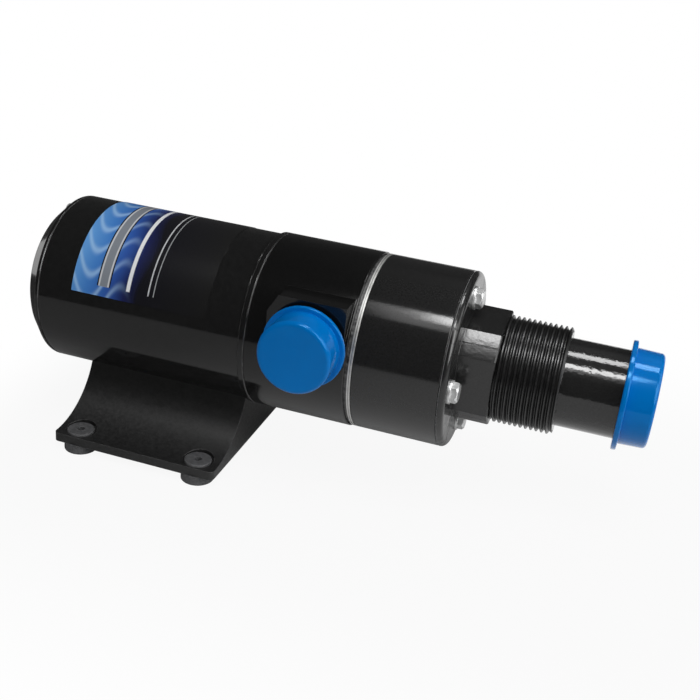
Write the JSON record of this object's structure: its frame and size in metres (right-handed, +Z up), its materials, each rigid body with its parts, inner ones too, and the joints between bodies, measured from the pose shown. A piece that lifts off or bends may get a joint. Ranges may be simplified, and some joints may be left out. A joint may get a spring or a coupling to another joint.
{
  "type": "macerator pump",
  "caption": "Electric macerator pump with a threaded hose-tail inlet and a side discharge spigot, both under push-on caps, on a saddle bracket with rubber feet.",
  "frame": {"origin": "centre of the four fixing holes, on the plane that the rubber feet rest on", "axes": "+X along the pump axis towards the inlet, +Z up, the discharge spigot points along -Y"},
  "size_m": [0.289, 0.1069, 0.1097],
  "materials": {
    "motor_tube": "gloss",
    "label": "satin printed film",
    "rear_cover": "gloss",
    "lead_grommet": "matte",
    "front_bell": "black coated",
    "rear_bearing_outer": "satin",
    "rear_bearing_balls": "satin",
    "front_bearing_outer": "satin",
    "front_bearing_balls": "satin",
    "field_magnets": "matte ferrite",
    "brush_holder": "fibre board",
    "brushes": "carbon",
    "brush_springs": "satin",
    "thermal_breaker": "moulded",
    "motor_bolts": "bright zinc",
    "mount_bracket": "satin moulded",
    "mount_grommets": "matte",
    "bracket_screws": "bright zinc",
    "pump_body": "smooth moulded",
    "shaft_seals": "matte",
    "body_gasket": "mottled fibre and rubber",
    "wear_plate": "ground",
    "chopper_housing": "smooth moulded",
    "cover_gasket": "matte",
    "inlet_cover": "smooth moulded",
    "cover_washers": "bright zinc",
    "cover_bolts": "bright zinc",
    "rear_bearing_inner": "satin",
    "front_bearing_inner": "satin",
    "motor_shaft": "satin",
    "armature_core": "varnished laminations",
    "armature_windings": "enamelled copper",
    "commutator": "turned copper",
    "slinger": "matte",
    "drive_pin": "satin",
    "impeller": "moulded",
    "shaft_spacer": "satin",
    "chopper_blade": "ground",
    "blade_washer": "satin",
    "blade_nut": "satin",
    "inlet_cap": "soft satin",
    "discharge_cap": "soft satin"
  },
  "bodies": {
    "housing": {"motor_tube": "motor_tube", "label": "label", "rear_cover": "rear_cover", "lead_grommet": "lead_grommet", "front_bell": "front_bell", "rear_bearing_outer": "rear_bearing_outer", "rear_bearing_balls": "rear_bearing_balls", "front_bearing_outer": "front_bearing_outer", "front_bearing_balls": "front_bearing_balls", "field_magnets": "field_magnets", "brush_holder": "brush_holder", "brushes": "brushes", "brush_springs": "brush_springs", "thermal_breaker": "thermal_breaker", "motor_bolts": "motor_bolts", "mount_bracket": "mount_bracket", "mount_grommets": "mount_grommets", "bracket_screws": "bracket_screws", "pump_body": "pump_body", "shaft_seals": "shaft_seals", "body_gasket": "body_gasket", "wear_plate": "wear_plate", "chopper_housing": "chopper_housing", "cover_gasket": "cover_gasket", "inlet_cover": "inlet_cover", "cover_washers": "cover_washers", "cover_bolts": "cover_bolts"},
    "rotor": {"rear_bearing_inner": "rear_bearing_inner", "front_bearing_inner": "front_bearing_inner", "motor_shaft": "motor_shaft", "armature_core": "armature_core", "armature_windings": "armature_windings", "commutator": "commutator", "slinger": "slinger", "drive_pin": "drive_pin", "impeller": "impeller", "shaft_spacer": "shaft_spacer", "chopper_blade": "chopper_blade", "blade_washer": "blade_washer", "blade_nut": "blade_nut"},
    "inlet_cap": {"inlet_cap": "inlet_cap"},
    "discharge_cap": {"discharge_cap": "discharge_cap"}
  },
  "joints": [
    {"name": "rotor_spin", "type": "hinge", "parent": "housing", "child": "rotor", "pos_m": [0, 0, 0.0691], "axis": [1, 0, 0], "continuous": true},
    {"name": "inlet_cap_pull", "type": "slide", "parent": "housing", "child": "inlet_cap", "axis": [1, 0, 0], "range_m": [0, 0.06]},
    {"name": "discharge_cap_pull", "type": "slide", "parent": "housing", "child": "discharge_cap", "axis": [0, -1, 0], "range_m": [0, 0.04]}
  ]
}
